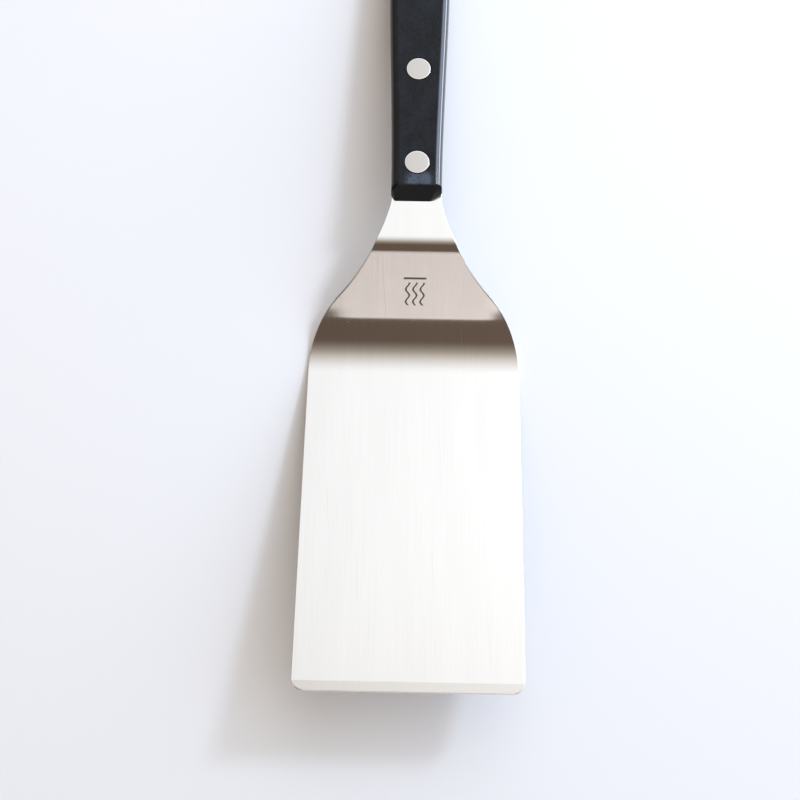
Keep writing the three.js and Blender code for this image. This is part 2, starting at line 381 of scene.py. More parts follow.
def bend_group():
    """Carries flat work (x across, y along, z above mid thickness) to its place on the bent plate."""
    made = Group("follow_the_bends", [(name, "Float") for name in BEND_INPUTS])
    tree = made.tree
    flat = tree.add("GeometryNodeInputPosition").out()
    x, along, above = tree.parts(flat)
    y, z, heading = place_on_plate(tree, made.wire, along)
    pitch = made.wire("Rest Pitch")
    lean = heading - pitch
    resting_y = y * pitch.math("COSINE") + z * pitch.math("SINE")
    resting_z = z * pitch.math("COSINE") - y * pitch.math("SINE")
    place = tree.vector(
        x,
        made.wire("Tip Place") + resting_y - above * lean.math("SINE"),
        made.wire("Tip Height") + resting_z + above * lean.math("COSINE"),
    )
    settings = {"data_type": "FLOAT_VECTOR", "domain": "POINT"}
    values = {"Geometry": made.wire("Geometry"), "Name": "flat", "Value": flat}
    named = tree.add("GeometryNodeStoreNamedAttribute", settings, values).out()
    return made.finish(
        tree.add("GeometryNodeSetPosition", None, {"Geometry": named, "Position": place}).out()
    )


def rivet_points(made, count):
    """One point on the tang's mid thickness for each rivet."""
    tree = made.tree
    start = tree.vector(0.0, made.wire("First Rivet"), 0.0)
    values = {
        "Count": count,
        "Start Location": start,
        "Offset": tree.vector(0.0, made.wire("Rivet Pitch"), 0.0),
    }
    return tree.add("GeometryNodeMeshLine", {"mode": "OFFSET"}, values).out()


def bent_and_painted(made, geometry, bend):
    """The end of every tree: bend, realise and give the material."""
    tree = made.tree
    values = {"Geometry": geometry} | {name: made.wire(name) for name in BEND_INPUTS}
    bent = tree.add("GeometryNodeGroup", {"node_tree": bend}, values).out()
    real = tree.add("GeometryNodeRealizeInstances", None, [bent]).out()
    painted = {"Geometry": real, "Material": made.wire("Material")}
    return made.finish(tree.add("GeometryNodeSetMaterial", None, painted).out())


def common_inputs():
    floats = [(name, "Float") for name in (*BEND_INPUTS, *ROW_INPUTS)]
    return [*floats, ("Rivets", "Integer"), ("Material", "Material")]


def drilled_group(bend):
    """A flat piece, drilled by a cutter at every rivet, then bent."""
    made = Group("drilled_piece", [*common_inputs(), ("Cutter", "Object")])
    tree = made.tree
    cutter = tree.add("GeometryNodeObjectInfo", None, {"Object": made.wire("Cutter")}).out("Geometry")
    points = rivet_points(made, made.wire("Rivets"))
    holes = tree.add("GeometryNodeInstanceOnPoints", None, {"Points": points, "Instance": cutter}).out()
    cutters = tree.add("GeometryNodeRealizeInstances", None, [holes]).out()
    drilled = tree.add(
        "GeometryNodeMeshBoolean",
        {"operation": "DIFFERENCE", "solver": "EXACT"},
        {"Mesh 1": made.wire("Geometry"), "Mesh 2": cutters},
    ).out("Mesh")
    return bent_and_painted(made, drilled, bend)


def rivet_group(bend):
    """One flat rivet half, repeated at every rivet with its own turn, then set on the tang."""
    made = Group("rivet_row", [*common_inputs(), ("Seed", "Integer")])
    tree = made.tree
    points = rivet_points(made, made.wire("Rivets"))
    turn = tree.add(
        "FunctionNodeRandomValue",
        {"data_type": "FLOAT"},
        {"Min": 0.0, "Max": math.tau, "Seed": made.wire("Seed")},
    ).out()
    spin = tree.add("FunctionNodeEulerToRotation", None, [tree.vector(0.0, 0.0, turn)]).out()
    values = {"Points": points, "Instance": made.wire("Geometry"), "Rotation": spin}
    row = tree.add("GeometryNodeInstanceOnPoints", None, values).out()
    real = tree.add("GeometryNodeRealizeInstances", None, [row]).out()
    return bent_and_painted(made, real, bend)


# ---- mesh helpers ----


def new_object(name, mesh):
    made = bpy.data.objects.new(name, mesh)
    bpy.context.scene.collection.objects.link(made)
    return made


def mesh_from(name, points, faces):
    mesh = bpy.data.meshes.new(name)
    mesh.from_pydata(points, [], faces)
    mesh.validate()
    return mesh


def outward(mesh):
    """Merges doubles and points every face of a closed mesh outwards."""
    work = bmesh.new()
    work.from_mesh(mesh)
    bmesh.ops.remove_doubles(work, verts=work.verts, dist=1e-7)
    bmesh.ops.recalc_face_normals(work, faces=work.faces)
    work.to_mesh(mesh)
    work.free()
    return mesh


def spun(name, profile, segments=96):
    """A turned solid. profile is a list of (radius, height) from the axis to the axis."""
    points = []
    for radius, height in profile[1:-1]:
        for i in range(segments):
            turn = math.tau * i / segments
            points.append((radius * math.cos(turn), radius * math.sin(turn), height))
    ends = len(points)
    points += [(0, 0, profile[0][1]), (0, 0, profile[-1][1])]
    faces = []
    rings = len(profile) - 2
    for ring in range(rings - 1):
        for i in range(segments):
            a = ring * segments + i
            b = ring * segments + (i + 1) % segments
            faces.append((a, b, b + segments, a + segments))
    last = (rings - 1) * segments
    for i in range(segments):
        after = (i + 1) % segments
        faces.append((ends, after, i))
        faces.append((ends + 1, last + i, last + after))
    return outward(mesh_from(name, points, faces))


def arc_steps(count):
    """Shares (1 - cos, sin) of a quarter turn, from 0 to 1."""
    turns = [math.pi / 2 * i / count for i in range(count + 1)]
    return [(1 - math.cos(turn), math.sin(turn)) for turn in turns]


def spread(start, end, step):
    """Values from start to end no further apart than step, with both ends."""
    count = max(1, math.ceil((end - start) / step - 1e-6))
    return [start + (end - start) * i / count for i in range(count + 1)]


def smooth(share):
    held = min(1.0, max(0.0, share))
    return held * held * (3 - 2 * held)


def run_tree(thing, group, values):
    """Runs a geometry tree on an object and leaves its result as a plain mesh."""
    modifier = thing.modifiers.new(group.name, "NODES")
    modifier.node_group = group
    for item in group.interface.items_tree:
        if item.in_out == "INPUT" and item.name in values:
            modifier[item.identifier] = values[item.name]
    thing.update_tag()
    depsgraph = bpy.context.evaluated_depsgraph_get()
    mesh = bpy.data.meshes.new_from_object(thing.evaluated_get(depsgraph))
    thing.modifiers.remove(modifier)
    if not mesh.polygons:
        raise RuntimeError(f"{thing.name}: its tree made nothing")
    mesh.name = thing.name
    thing.data = mesh
    mesh.shade_smooth()
    mesh.set_sharp_from_angle(angle=SMOOTH_BELOW)
    return thing


def spatula_settings():
    """The sizes and colours in the panel."""
    return bpy.context.scene.spatula


def tang_start():
    """Distance along the plate to the front of the handle."""
    blade = spatula_settings().blade
    bends = blade.heel_radius * blade.heel_turn + blade.upper_radius * upper_turn()
    return blade.blade + bends + blade.neck + blade.collar


def upper_turn():
    """Angle of the upper bend, from the heel's and the lean between blade and tang."""
    return spatula_settings().blade.heel_turn - (REST_PITCH - TANG_PITCH)


def tree_values(material):
    """The inputs that every tree takes."""
    blade, rivets = spatula_settings().blade, spatula_settings().rivets
    heel_rise = blade.heel_radius * (1 - math.cos(REST_PITCH)) + blade.thickness / 2
    return {
        "Blade": blade.blade,
        "Heel Radius": blade.heel_radius,
        "Heel Turn": blade.heel_turn,
        "Neck": blade.neck,
        "Upper Radius": blade.upper_radius,
        "Upper Turn": upper_turn(),
        "Rest Pitch": REST_PITCH,
        "Tip Place": BLADE_LOW.y + blade.thickness / 2 * math.sin(REST_PITCH),
        "Tip Height": blade.blade * math.sin(REST_PITCH) + heel_rise,
        "First Rivet": tang_start() + rivets.first,
        "Rivet Pitch": rivets.pitch,
        "Rivets": rivets.count,
        "Material": material,
    }


def seat_piece(thing, nodes):
    """Ties a finished piece to the frame, and stops if it isn't where those nodes are."""
    low = [min(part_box(node)[0][i] for node in nodes) for i in range(3)]
    high = [max(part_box(node)[1][i] for node in nodes) for i in range(3)]
    places = [vertex.co for vertex in thing.data.vertices]
    for i in range(3):
        least, most = min(p[i] for p in places), max(p[i] for p in places)
        if least < low[i] - SEAT_GAP or most > high[i] + SEAT_GAP:
            raise RuntimeError(f"{thing.name} is off its nodes on axis {i}: {least}, {most}")
    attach(thing, "root")
    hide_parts(*nodes)


# ---- the blade ----


def side_half_width(blade, along):
    return (blade.tip_width + (blade.heel_width - blade.tip_width) * along / blade.side) / 2


def handle_half_width(handle, behind):
    return handle.front_width / 2 + handle.swell * smooth(behind / handle.swell_run)


def outline_half_width(blade, handle, along):
    """Half the blank's width at a distance along it, with the end corners still square."""
    heel = blade.heel_width / 2
    turn = blade.shoulder_turn
    shoulder_end = blade.side + blade.shoulder_radius * math.sin(turn)
    if along < blade.side:
        return side_half_width(blade, along)
    if along < shoulder_end:
        share = (along - blade.side) / blade.shoulder_radius
        return heel - blade.shoulder_radius * (1 - math.sqrt(1 - share * share))
    if along < tang_start():
        shoulder = heel - blade.shoulder_radius * (1 - math.cos(turn))
        share = math.sin(turn) - (along - shoulder_end) / blade.neck_radius
        return shoulder - blade.neck_radius * (math.sqrt(1 - share * share) - math.cos(turn))
    return handle_half_width(handle, along - tang_start())


def corner_loss(into, radius):
    """What a round corner takes off a side at a distance into the corner."""
    held = max(0.0, into)
    return radius - math.sqrt(max(0.0, radius * radius - held * held))


class Blank:
    """The flat plate before it is bent: its outline, its bevel and its worn edges."""

    def __init__(self, blade, handle):
        self.blade = blade
        self.handle = handle
        self.end = tang_start() + handle.length

    def square_half(self, along):
        return outline_half_width(self.blade, self.handle, along)

    def half(self, along):
        tip = corner_loss(self.blade.tip_corner - along, self.blade.tip_corner)
        radius = self.handle.butt_radius
        butt = corner_loss(along - (self.end - radius), radius)
        return self.square_half(along) - tip - butt

    def inset(self, x, along):
        """How far inside the outline a point lies."""
        ahead, back = self.square_half(along + SLOPE_REACH), self.square_half(along - SLOPE_REACH)
        slope = (ahead - back) / (2 * SLOPE_REACH)
        inside = (self.square_half(along) - abs(x)) / math.hypot(1, slope)
        inside = min(inside, along, self.end - along)
        ends = [(along, self.blade.tip_corner), (self.end - along, self.handle.butt_radius)]
        for depth, radius in ends:
            beside = abs(x) - (self.square_half(along) - radius)
            if depth < radius and beside > 0:
                inside = radius - math.hypot(beside, radius - depth)
        return max(0.0, inside)

    def worn(self, inside):
        """How far the worn edge lies below the flat."""
        softness = self.blade.softness
        return corner_loss(softness - inside, softness)

    def drop(self, x, along):
        """The slight sag of both sides at the end of the heel bend, a little more on the left."""
        blade = self.blade
        bend_end = blade.blade + blade.heel_radius * blade.heel_turn
        reach = (9 if x < 0 else 7) * MM
        across = smooth(1 - (self.square_half(bend_end) - abs(x)) / reach)
        return blade.corner_drop * across * smooth((along - bend_end + 5.5 * MM) / (9 * MM))

    def hollow(self, along):
        """The shallow hollow of the neck between its two bends."""
        blade = self.blade
        past = along - blade.blade - blade.heel_radius * blade.heel_turn
        held = min(max(past, 0), blade.neck)
        return math.tan(blade.neck_hollow) * held * (1 - held / blade.neck)

    def heights(self, x, along):
        """Lower and upper face at a point, from mid thickness."""
        blade = self.blade
        middle = -self.drop(x, along) - self.hollow(along)
        worn = self.worn(self.inset(x, along))
        ground = (blade.thickness - blade.tip_edge) * max(0.0, 1 - along / blade.bevel_run)
        half = blade.thickness / 2
        return middle - half + worn, middle + half - ground - worn

    def stations(self):
        """Distances along the blank that get a row of points."""
        blade, handle = self.blade, self.handle
        heel_end = blade.blade + blade.heel_radius * blade.heel_turn
        upper_start = heel_end + blade.neck
        upper_end = upper_start + blade.upper_radius * upper_turn()
        butt = self.end - handle.butt_radius
        found = [blade.softness * share for share, _ in arc_steps(4)]
        found += [self.end - blade.softness * share for share, _ in arc_steps(4)]
        found += [blade.softness + WORN_SUPPORT, self.end - blade.softness - WORN_SUPPORT]
        found += [blade.tip_corner * share for share, _ in arc_steps(14)]
        found += [self.end - handle.butt_radius * share for share, _ in arc_steps(14)]
        found += [blade.bevel_run - 0.04 * MM, blade.bevel_run + 0.04 * MM]
        found += spread(blade.tip_corner, blade.blade, 4 * MM)
        found += spread(blade.blade, heel_end, 0.45 * MM)
        found += spread(heel_end, upper_start, 0.8 * MM)
        found += spread(upper_start, upper_end, 0.16 * MM)
        found += spread(upper_end, tang_start(), 1 * MM)
        found += spread(tang_start(), butt, 3 * MM)
        found.sort()
        return [s for i, s in enumerate(found) if i == 0 or s - found[i - 1] > 0.02 * MM]

    def columns(self, half):
        """Places across a row, closer together at the worn edges."""
        insets = [share * self.blade.softness for share, _ in arc_steps(4)]
        support = self.blade.softness + WORN_SUPPORT
        share = half / (self.blade.tip_width / 2)
        insets += [support + share * reach * MM for reach in (0, 0.8, 1.8, 3.0, 4.4, 6.0)]
        right = [half - inset for inset in insets]
        inner = right[-1]
        middle = [inner * (2 * i / 20 - 1) for i in range(1, 20)]
        return [-x for x in right] + middle + right[::-1]

    def mesh(self):
        points, rows = [], []
        for along in self.stations():
            columns = self.columns(self.half(along))
            rows.append(len(points))
            faces = [self.heights(x, along) for x in columns]
            points += [(x, along, upper) for x, (_, upper) in zip(columns, faces)]
            points += [(x, along, lower) for x, (lower, _) in zip(columns, faces)]
        return outward(mesh_from("blade_blank", points, self.faces(rows, len(columns))))

    def faces(self, rows, count):
        faces = []
        for a, b in zip(rows, rows[1:]):
            for i in range(count - 1):
                faces.append((a + i, a + i + 1, b + i + 1, b + i))
                faces.append((a + count + i, b + count + i, b + count + i + 1, a + count + i + 1))
            for side in (0, count - 1):
                faces.append((a + side, b + side, b + count + side, a + count + side))
        for row in (rows[0], rows[-1]):
            faces += [
                (row + i, row + i + 1, row + count + i + 1, row + count + i) for i in range(count - 1)
            ]
        return faces


# ---- the handle ----


class ScaleShape:
    """The upper scale, flat: x across, y along the plate, z above mid thickness."""

    LEFT_FOOT, LEFT_TOP = (1.3, 2.0), (0.5, 0.4)  # ground corners: across and along, in mm
    RIGHT_FOOT, RIGHT_TOP = (4.2, 2.9), (0.8, 0.5)

    def __init__(self, blade, handle):
        self.handle = handle
        self.foot = blade.thickness / 2 + handle.seam
        self.top = handle.thickness / 2

    def half(self, behind):
        handle = self.handle
        butt = corner_loss(behind - (handle.length - handle.butt_radius), handle.butt_radius)
        return handle_half_width(handle, behind) - butt

    def front(self, x, share):
        """How far the front face lies back at a share of its height."""
        handle = self.handle
        bow = handle.front_bow * (1 - min(1.0, (2 * x / handle.front_width) ** 2))
        return share * handle.front_run + bow * share**2

    def corner(self, foot, top, share):
        return [(a + (b - a) * share) * MM for a, b in zip(foot, top)]

    def ring(self, height, inset):
        """The outline at a height, anticlockwise from above, drawn in by inset at the sides."""
        handle = self.handle
        share = (height - self.foot) / (self.top - self.foot)
        front_half = self.half(0) - inset
        left_across, left_along = self.corner(self.LEFT_FOOT, self.LEFT_TOP, share)
        right_across, right_along = self.corner(self.RIGHT_FOOT, self.RIGHT_TOP, share)
        left, right = left_across - front_half, front_half - right_across
        edge = [left + (right - left) * i / 28 for i in range(29)]
        ring = [(x, self.front(x, share)) for x in edge]
        right_start = self.front(front_half, share) + right_along
        left_start = self.front(front_half, share) + left_along
        butt = handle.length - handle.butt_radius
        for start, sign in ((right_start, 1), (left_start, -1)):
            run = [start + (butt - start) * i / 48 for i in range(49)]
            side = [(sign * (self.half(y) - inset), y) for y in run]
            side += self.butt_corner(sign, inset)
            ring += side if sign > 0 else side[::-1]
        return [(x, tang_start() + y, height) for x, y in ring]

    def butt_corner(self, sign, inset):
        handle = self.handle
        radius = handle.butt_radius
        middle = handle_half_width(handle, handle.length) - radius
        turns = [math.pi / 2 * i / 18 for i in range(1, 19)]
        return [
            (
                sign * (middle + (radius - inset) * math.cos(turn)),
                handle.length - radius + (radius - inset) * math.sin(turn),
            )
            for turn in turns
        ]

    def levels(self):
        """(height, inset) of each ring, with the rounded side and a rim on the flat top."""
        rounding = self.handle.rounding
        straight = self.top - rounding
        soft = 0.12 * MM
        rings = [(self.foot, soft), (self.foot + soft, 0.0)]
        rings += [(self.foot + soft + (straight - self.foot - soft) * i / 4, 0.0) for i in range(1, 5)]
        rings += [(straight + rounding * rise, rounding * loss) for loss, rise in arc_steps(16)[1:]]
        return [*rings, (self.top, rounding + 0.15 * MM)]

    def mesh(self):
        rings = [self.ring(height, inset) for height, inset in self.levels()]
        count = len(rings[0])
        points = [point for ring in rings for point in ring]
        faces = []
        for r in range(len(rings) - 1):
            for i in range(count):
                a, b = r * count + i, r * count + (i + 1) % count
                faces.append((a, b, b + count, a + count))
        faces.append(tuple(range(count))[::-1])
        faces.append(tuple((len(rings) - 1) * count + i for i in range(count)))
        return outward(mesh_from("scale_blank", points, faces))


def weigh_sharp_edges(mesh, above, sharper_than):
    """Gives a bevel weight to every edge that is sharp and lies above a height."""
    work = bmesh.new()
    work.from_mesh(mesh)
    weight = work.edges.layers.float.new("bevel_weight_edge")
    for edge in work.edges:
        high = min(vertex.co.z for vertex in edge.verts) > above
        if high and edge.calc_face_angle(0) > sharper_than:
            edge[weight] = 1
    work.to_mesh(mesh)
    work.free()


def soften(thing, width, segments):
    """Rounds the weighted edges of a mesh and keeps the result as its mesh."""
    modifier = thing.modifiers.new("Soften", "BEVEL")
    modifier.width = width
    modifier.segments = segments
    modifier.limit_method = "WEIGHT"
    depsgraph = bpy.context.evaluated_depsgraph_get()
    mesh = bpy.data.meshes.new_from_object(thing.evaluated_get(depsgraph))
    thing.modifiers.remove(modifier)
    thing.data = mesh


def mirrored(mesh):
    """The same piece under the tang."""
    copy = mesh.copy()
    copy.transform(Matrix.Diagonal((1, 1, -1, 1)))
    return outward(copy)


def counterbore(rivets, handle):
    """The cutter for one rivet in the upper scale."""
    shank = rivets.tube_radius + rivets.clearance
    head = rivets.head_radius + rivets.clearance
    seat = handle.thickness / 2 - rivets.head - rivets.clearance
    face = handle.thickness / 2
    flare = 0.2 * MM
    over = handle.thickness
    profile = [(0, -over), (shank, -over), (shank, seat), (head, seat), (head, face - flare)]
    profile += [(head + flare, face + 0.01 * MM), (head + flare, over), (0, over)]
    return spun("counterbore", profile)


def plain_drill(rivets, blade):
    radius = rivets.tube_radius + rivets.clearance
    over = 3 * blade.thickness
    return spun("drill", [(0, -over), (radius, -over), (radius, over), (0, over)], 64)


# ---- the rivets ----


def tube_half(rivets, handle):
    face = handle.thickness / 2
    under = face - rivets.head
    soft = rivets.softness
    rim = [
        (rivets.head_radius - soft * loss, face - soft + soft * rise) for loss, rise in arc_steps(5)
    ]
    profile = [(0, rivets.bore_end), (rivets.tube_bore, rivets.bore_end)]
    profile += [(rivets.tube_bore, -rivets.tube_end), (rivets.tube_radius, -rivets.tube_end)]
    profile += [(rivets.tube_radius, under), (rivets.head_radius, under)]
    return spun("tube_half", [*profile, *rim, *crown(rivets, face)])


def pin_half(rivets, handle):
    face = handle.thickness / 2
    soft = rivets.softness
    rim = [
        (rivets.head_radius - soft * loss, soft - soft * rise - face) for loss, rise in arc_steps(5)
    ]
    profile = [(radius, -height) for radius, height in crown(rivets, face)[::-1]]
    profile += [*rim[::-1], (rivets.head_radius, rivets.head - face)]
    profile += [(rivets.pin_radius, rivets.head - face), (rivets.pin_radius, rivets.pin_end)]
    return spun("pin_half", [*profile, (0, rivets.pin_end)])


def crown(rivets, face):
    """The head's very slightly domed face, from its rim to the axis."""
    flat = rivets.head_radius - rivets.softness
    rise = 0.03 * MM
    return [(flat * (1 - i / 8), face + rise * (1 - (1 - i / 8) ** 2)) for i in range(1, 9)]


# ---- finishes ----


def material_tree(name):
    material = bpy.data.materials.new(name)
    material.use_nodes = True
    return material, Tree(material.node_tree)


def flat_place(tree):
    """Where a point lay on the flat blank, in millimetres: across, along and above."""
    flat = tree.add("ShaderNodeAttribute", {"attribute_name": "flat"}).out("Vector")
    x, along, above = tree.parts(flat)
    return x / MM, along / MM, above / MM


def finish_surface(tree, constants, base, roughness, height, depth):
    """One principled surface with its bump."""
    bump = tree.add("ShaderNodeBump", None, {"Strength": 1.0, "Distance": depth, "Height": height})
    values = {"Base Color": base, "Roughness": roughness, "Normal": bump.out(), **constants}
    shader = tree.add("ShaderNodeBsdfPrincipled", None, values).out()
    tree.add("ShaderNodeOutputMaterial", None, {"Surface": shader})


def streaks(tree, place, across, along, detail=2.0):
    """Noise drawn out into streaks, with the size of one streak across and along, in mm."""
    x, y, z = place
    return tree.noise(tree.vector(x / across, y / along, z / across), detail)


def heat_mark(x, along, middle):
    """The etched mark: three rising waves over a short bar. 1 on the mark, 0 off it."""
    up = middle - along
    mark = x.math("ABSOLUTE").step(4.1, 3.9) * (up + 5.2).math("ABSOLUTE").step(0.42, 0.26)
    for shift in (-2.6, 0.0, 2.6):
        wave = (up * (math.tau / 4.6)).math("SINE") * 0.62
        line = (x - shift - wave).math("ABSOLUTE").step(0.40, 0.26)
        ends = (up - 0.6).math("ABSOLUTE").step(4.35, 4.1)
        mark = mark.math("MAXIMUM", line * ends)
    return mark


def brushed_steel(blade):
    """Steel brushed lengthwise, with a ground bevel, a few specks and an etched mark."""
    material, tree = material_tree("brushed_steel")
    x, along, above = place = flat_place(tree)
    fine = streaks(tree, place, 0.16, 9.0)
    medium = streaks(tree, place, 0.7, 36.0)
    broad = streaks(tree, place, 9.0, 60.0, 1.0)
    cross = streaks(tree, place, 2.4, 0.12)
    bevel = blade.bevel_run / MM
    on_bevel = along.step(bevel + 0.05, bevel - 0.05) * above.step(-0.4, -0.3)
    speck_place = tree.vector(x / 5.3, along / 6.1, above)
    settings = {"feature": "F1", "distance": "EUCLIDEAN"}
    spots = tree.add("ShaderNodeTexVoronoi", settings, {"Vector": speck_place, "Scale": 1.0})
    specks = spots.out("Distance").step(0.032, 0.018)
    scratch_place = tree.vector(x / 0.5 + along / 7.0, along / 55.0, above)
    scratches = tree.noise(scratch_place, 1.0).step(0.745, 0.79)
    heel_end = (blade.blade + blade.heel_radius * blade.heel_turn) / MM
    mark = heat_mark(x, along, heel_end + 9.4) * above.step(0.1, 0.2)
    tone = 0.5 + (medium - 0.5) * 0.6 + (broad - 0.5) * 0.7
    light = [min(1.0, value * 1.03) for value in blade.steel]
    dark = [value * 0.955 for value in blade.steel]
    base = tree.mix(tone.clamp(0.0, 1.0), dark, light)
    # Painted highlight: the ground bevel's steel is painted lighter than the flat; its added roughness
    # and cross grain are the real grind.
    base = tree.mix(on_bevel, base, [value * 1.2 for value in blade.steel])
    base = tree.mix(specks * 0.35, base, (0.9, 0.88, 0.85))
    base = tree.mix(mark * 0.9, base, tuple(blade.etch))
    roughness = 0.115 + (medium - 0.5) * 0.06 + (fine - 0.5) * 0.05
    roughness = roughness + on_bevel * 0.17 + mark * 0.35 + specks * 0.25 + scratches * 0.04
    height = (fine * 0.7 + medium * 0.8) * (1 - on_bevel) + cross * on_bevel * 0.6
    height = height - mark * 1.2 - scratches * 0.5
    finish_surface(tree, {"Metallic": 1.0}, base, roughness, height, blade.grain * 0.024 * MM)
    return material


def black_polymer(handle):
    """Buffed black polymer with faint cutter lines, scuffs, and a rougher buffed patch near the front
    whose bluish colour is a painted sheen.
    """
    material, tree = material_tree("black_polymer")
    x, along, above = place = flat_place(tree)
    behind = along - tang_start() / MM
    lines = streaks(tree, place, 5.0, 0.55)
    fine = tree.noise(tree.vector(x / 0.35, along / 0.35, above / 0.35), 3.0)
    clouds = tree.noise(tree.vector(x / 5.0, along / 9.0, above / 5.0), 2.0)
    near_front = behind.step(3.5, 4.6) * behind.step(10.5, 6.0)
    near_front = near_front * (x - 0.8).math("ABSOLUTE").step(6.0, 2.5)
    fibres = streaks(tree, (x + along * 0.5, along, above), 0.4, 0.9)
    rubbed = (clouds - 0.32) * 0.5 + (fibres - 0.42) * 0.7
    # The buffed patch near the front, plus a faint share over the whole top: rougher, and carrying a
    # painted bluish sheen.
    haze_and_painted_sheen = (near_front + 0.12) * (0.25 + rubbed * 2.6).clamp(0.0, 1.2) * above.step(5.6, 6.2)
    scuffs = (fine * 0.5 + clouds * 0.5).step(0.58, 0.72)
    light = [value * 1.9 for value in handle.polymer]
    base = tree.mix((lines - 0.3).clamp(0.0, 1.0), tuple(handle.polymer), light)
    # Painted sheen: the top is mixed towards a bluish colour over the buffed patch.
    base = tree.mix((haze_and_painted_sheen * 1.3).clamp(0.0, 1.0), base, tuple(handle.haze_and_painted_sheen))
    roughness = 0.15 + (clouds - 0.5) * 0.06 + (lines - 0.5) * 0.05 + scuffs * 0.05 + haze_and_painted_sheen * 0.2
    height = lines * 0.5 + fine * 0.35
    constants = {"IOR": 1.47, "Specular IOR Level": 0.13}
    half = handle.front_width / 2 / MM + behind.step(0.0, handle.swell_run / MM) * (handle.swell / MM)
    polished = (x.math("ABSOLUTE") - half + handle.rounding / MM).step(0.05, 0.5)
    polished = polished * behind.step(3.9, 4.5) * above.step(6.24, 6.1)
    right_more = x.step(-0.5, 0.5) * 0.8 + 0.2
    coat = {"Coat Weight": polished * right_more, "Coat Roughness": 0.035, "Coat IOR": 1.9}
    finish_surface(tree, constants | coat, base, roughness, height, 0.005 * MM)
    return material


def rivet_steel(rivets):
    """Rivet steel ground flush, with faint turning rings and a sanding grain."""
    material, tree = material_tree("rivet_steel")
    x, along, above = flat_place(tree)
    row = along - (tang_start() + rivets.first) / MM
    pitch = rivets.pitch / MM
    beside = (row + pitch / 2).math("FLOORED_MODULO", pitch) - pitch / 2
    radius = (x * x + beside * beside).math("SQRT")
    rings = tree.noise(tree.vector(radius / 0.22, above / 3.0, 0.0), 2.0)
    slant = x * 0.62 + beside * 0.78
    over = beside * 0.62 - x * 0.78
    grain = tree.noise(tree.vector(slant / 0.13, over / 3.5, along / pitch), 2.0)
    cloud = tree.noise(tree.vector(x / 3.0, along / 3.0, 0.0), 1.0)
    rim = radius.step(rivets.head_radius / MM - 0.42, rivets.head_radius / MM - 0.22)
    tone = (0.5 + (grain - 0.5) * 0.8 + (rings - 0.5) * 0.5 + (cloud - 0.5) * 0.5).clamp(0.0, 1.0)
    dark = [value * 0.94 for value in rivets.steel]
    base = tree.mix(tone, dark, [value * 1.04 for value in rivets.steel])
    base = tree.mix(rim * 0.8, base, (0.68, 0.67, 0.66))
    roughness = 0.3 + (grain - 0.5) * 0.12 + (cloud - 0.5) * 0.08 - rim * 0.06
    height = grain * 0.6 + rings * 0.4
    finish_surface(tree, {"Metallic": 1.0}, base, roughness, height, 0.004 * MM)
    return material


def pale_table(stage):
    """A matt white table top with a barely seen tooth, and painted shade that darkens it towards -Y."""
    material, tree = material_tree("pale_table")
    place = tree.add("ShaderNodeTexCoord").out("Object")
    x, y, z = tree.parts(place)
    clouds = tree.noise(tree.vector(x * 9.0, y * 9.0, z * 9.0), 2.0)
    tooth = tree.noise(tree.vector(x * 900.0, y * 900.0, z * 900.0), 3.0)
    base = tree.mix(clouds, tuple(stage.table), [value * 0.985 for value in stage.table])
    # Painted shade: the table is 9% darker towards -Y, past the tip, standing in for the light falling
    # off away from the window.
    base = tree.mix(y.step(0.1, -0.3), base, [value * 0.91 for value in stage.table])
    roughness = 0.62 + (tooth - 0.5) * 0.2
    finish_surface(tree, {"Specular IOR Level": 0.25}, base, roughness, tooth, 0.02 * MM)
    return material


# ---- operators ----


class SPATULA_OT_blade(bpy.types.Operator):
    """Make the blade, neck and tang from one bent plate"""

    bl_idname = "spatula.blade"
    bl_label = "Blade with Tang"

    def execute(self, context):
        held = spatula_settings()
        trees = geometry_trees()
        thing = new_object("blade_and_tang", Blank(held.blade, held.handle).mesh())
        cutter = new_object("drill", plain_drill(held.rivets, held.blade))
        values = tree_values(brushed_steel(held.blade)) | {"Cutter": cutter}
        run_tree(thing, trees["drilled_piece"], values)
        bpy.data.objects.remove(cutter)
        seat_piece(thing, [BLADE_NODE])
        return {"FINISHED"}


class SPATULA_OT_scales(bpy.types.Operator):
    """Make the two black handle scales"""

    bl_idname = "spatula.scales"
    bl_label = "Handle Scales"

    def execute(self, context):
        held = spatula_settings()
        trees = geometry_trees()
        shape = ScaleShape(held.blade, held.handle)
        blank = new_object("scale_blank", shape.mesh())
        weigh_sharp_edges(blank.data, shape.foot + 0.2 * MM, math.radians(20))
        soften(blank, held.handle.softness, 4)
        polymer = black_polymer(held.handle)
        bore = counterbore(held.rivets, held.handle)
        pairs = (
            ("upper_scale", TOP_SCALE_NODE, blank.data.copy(), bore),
            ("lower_scale", BOTTOM_SCALE_NODE, mirrored(blank.data), mirrored(bore)),
        )
        for name, node, mesh, cutter_mesh in pairs:
            thing = new_object(name, mesh)
            cutter = new_object("counterbore", cutter_mesh)
            run_tree(thing, trees["drilled_piece"], tree_values(polymer) | {"Cutter": cutter})
            bpy.data.objects.remove(cutter)
            seat_piece(thing, [node])
        bpy.data.objects.remove(blank)
        return {"FINISHED"}


class SPATULA_OT_rivets(bpy.types.Operator):
    """Make the rivets, as tube halves and pin halves"""

    bl_idname = "spatula.rivets"
    bl_label = "Rivets"

    def execute(self, context):
        held = spatula_settings()
        trees = geometry_trees()
        steel = rivet_steel(held.rivets)
        pairs = (
            ("rivet_tube_halves", tube_half(held.rivets, held.handle), TUBE_NODES),
            ("rivet_pin_halves", pin_half(held.rivets, held.handle), PIN_NODES),
        )
        for name, mesh, nodes in pairs:
            thing = new_object(name, mesh)
            run_tree(thing, trees["rivet_row"], tree_values(steel) | {"Seed": held.rivets.seed})
            seat_piece(thing, nodes)
        return {"FINISHED"}


